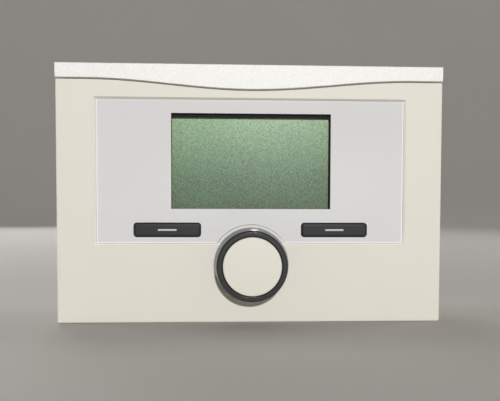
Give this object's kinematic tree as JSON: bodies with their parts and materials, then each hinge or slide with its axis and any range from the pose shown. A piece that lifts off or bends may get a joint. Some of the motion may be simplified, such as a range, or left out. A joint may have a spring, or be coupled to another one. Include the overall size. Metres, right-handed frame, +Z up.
{
  "type": "programmable room timer",
  "caption": "Wall-mounted heating timer: flat rectangular unit with a recessed display, keys below it and a rotary knob, clipped onto a wall base with bus terminals.",
  "frame": {"origin": "centre of the wall base's back face, on the wall plane", "axes": "+X to the right as seen from the front, +Y out of the back into the wall, +Z up"},
  "size_m": [0.147, 0.05, 0.0978],
  "materials": {
    "cover": "warm white moulded plastic, satin",
    "fascia": "glossy light grey",
    "trim": "pearl silver paint with fine sparkle",
    "dark_plastic": "dark grey, satin",
    "foam": "black foam",
    "display": "green-grey liquid crystal display, unlit",
    "white_plastic": "matt white",
    "diffuser": "milky clear",
    "contact_rubber": "layered contact rubber",
    "board": "green solder mask",
    "black_plastic": "black moulding",
    "grey_plastic": "grey moulding",
    "steel": "zinc plated",
    "brass": "plain"
  },
  "bodies": {
    "base": {"wall_base": "white_plastic", "terminal_block": "grey_plastic", "contact_socket": "black_plastic", "terminal_screw_left": "steel", "terminal_screw_right": "steel", "contact_spring_left": "brass", "contact_spring_right": "brass"},
    "unit": {"rear_housing": "white_plastic", "front_cover": "cover", "top_trim": "trim", "display_fascia": "fascia", "display_gasket": "foam", "display_glass": "display", "light_guide": "diffuser", "display_frame": "white_plastic", "contact_strip_top": "contact_rubber", "contact_strip_bottom": "contact_rubber", "main_board": "board", "microcontroller": "black_plastic", "crystal": "steel", "electrolytic_capacitor": "steel", "backup_capacitor": "black_plastic", "bus_rectifier": "black_plastic", "room_sensor": "black_plastic", "pin_header": "black_plastic", "encoder_body": "steel", "encoder_bush": "brass", "switch_body_left": "black_plastic", "switch_body_right": "black_plastic", "bus_pin_left": "brass", "bus_pin_right": "brass", "housing_screw_top_left": "steel", "housing_screw_top_right": "steel", "housing_screw_bottom_left": "steel", "housing_screw_bottom_right": "steel"},
    "knob": {"knob_ring": "dark_plastic", "knob_cap": "cover", "encoder_shaft": "grey_plastic"},
    "left_key": {"key_left": "dark_plastic", "switch_plunger_left": "grey_plastic"},
    "right_key": {"key_right": "dark_plastic", "switch_plunger_right": "grey_plastic"}
  },
  "joints": [
    {"name": "unit_pull_off", "type": "slide", "parent": "base", "child": "unit", "axis": [0, -1, 0], "range_m": [0, 0.025]},
    {"name": "knob_turn", "type": "hinge", "parent": "unit", "child": "knob", "pos_m": [0, -0.045, -0.0268], "axis": [0, 1, 0], "continuous": true},
    {"name": "left_key_press", "type": "slide", "parent": "unit", "child": "left_key", "axis": [0, 1, 0], "range_m": [0, 0.0006], "stiffness_N_per_m": 800, "springref_m": -0.0012},
    {"name": "right_key_press", "type": "slide", "parent": "unit", "child": "right_key", "axis": [0, 1, 0], "range_m": [0, 0.0006], "stiffness_N_per_m": 800, "springref_m": -0.0012}
  ]
}
